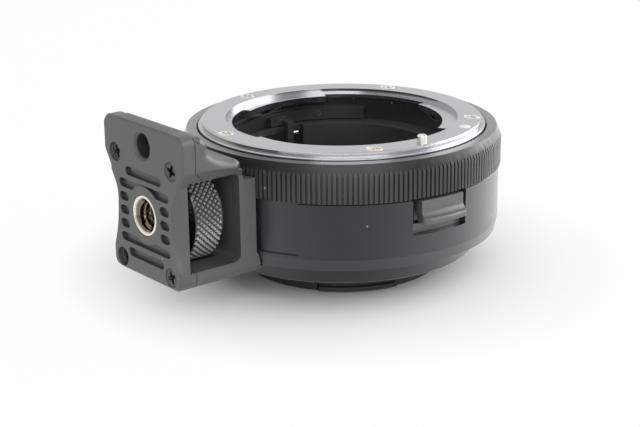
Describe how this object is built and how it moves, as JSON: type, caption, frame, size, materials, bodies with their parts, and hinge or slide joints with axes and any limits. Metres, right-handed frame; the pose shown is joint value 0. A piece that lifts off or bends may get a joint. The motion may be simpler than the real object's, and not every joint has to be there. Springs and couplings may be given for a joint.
{
  "type": "lens mount adapter",
  "caption": "Adapter ring between a lens and a camera, with a bayonet on each face, a ridged aperture ring, a lens release lever and a tripod foot clamped by a knurled wheel.",
  "frame": {"origin": "centre of the light path in the plane of the camera flange", "axes": "+Z along the lens axis towards the lens, the tripod foot along -Y, the release lever near +X"},
  "size_m": [0.0719, 0.0869, 0.0399],
  "materials": {
    "barrel_satin": "satin black anodised",
    "plated_flange": "satin chrome plated brass",
    "nickel_screw": "nickel plated",
    "white_bead": "gloss",
    "spring_steel": "bright",
    "black_baffle": "matte black",
    "black_bayonet": "black anodised",
    "lever_grey": "satin anodised",
    "ring_grey": "satin black anodised",
    "carrier_metal": "blackened",
    "pin_steel": "polished",
    "foot_grey": "matte fine blasted and anodised",
    "bush_steel": "turned",
    "wheel_dark": "knurled, dark anodised"
  },
  "bodies": {
    "barrel": {"barrel": "barrel_satin", "front_mount": "plated_flange", "front_mount_screws": "nickel_screw", "index_dot": "white_bead", "bayonet_springs": "spring_steel", "spring_rivets": "spring_steel", "inner_sleeve": "black_baffle", "rear_mount": "black_bayonet", "rear_mount_screws": "nickel_screw", "lever_guide": "lever_grey", "release_spring": "spring_steel"},
    "aperture_ring": {"aperture_ring": "ring_grey", "drive_screws": "nickel_screw", "lever_carrier": "carrier_metal", "aperture_arm": "black_baffle", "arm_pin": "pin_steel", "arm_screws": "nickel_screw"},
    "lens_release": {"release_lever": "lever_grey", "lock_pin": "pin_steel"},
    "foot": {"foot_frame": "foot_grey", "foot_plate": "foot_grey", "foot_plate_screws": "nickel_screw", "tripod_bush": "bush_steel", "thrust_washer": "pin_steel"},
    "clamp_wheel": {"clamp_wheel": "wheel_dark", "clamp_stud": "pin_steel", "stud_clip": "spring_steel"}
  },
  "joints": [
    {"name": "aperture_turn", "type": "hinge", "parent": "barrel", "child": "aperture_ring", "pos_m": [0, 0, 0.0226], "axis": [0, 0, 1], "range_deg": [-2, 22]},
    {"name": "release_slide", "type": "slide", "parent": "barrel", "child": "lens_release", "axis": [0, 0, -1], "range_m": [0, 0.0021], "stiffness_N_per_m": 400, "springref_m": -0.002, "deforming": ["release_spring"]},
    {"name": "foot_slide", "type": "slide", "parent": "barrel", "child": "foot", "axis": [0, -1, 0], "range_m": [0, 0.004]},
    {"name": "clamp_wheel_turn", "type": "hinge", "parent": "foot", "child": "clamp_wheel", "pos_m": [0, -0.043, 0.0156], "axis": [0, -1, 0], "range_deg": [0, 1800.5]}
  ],
  "couplings": [
    {"joint": "clamp_wheel_turn", "follows": "foot_slide", "rad_per_m": 7854}
  ]
}
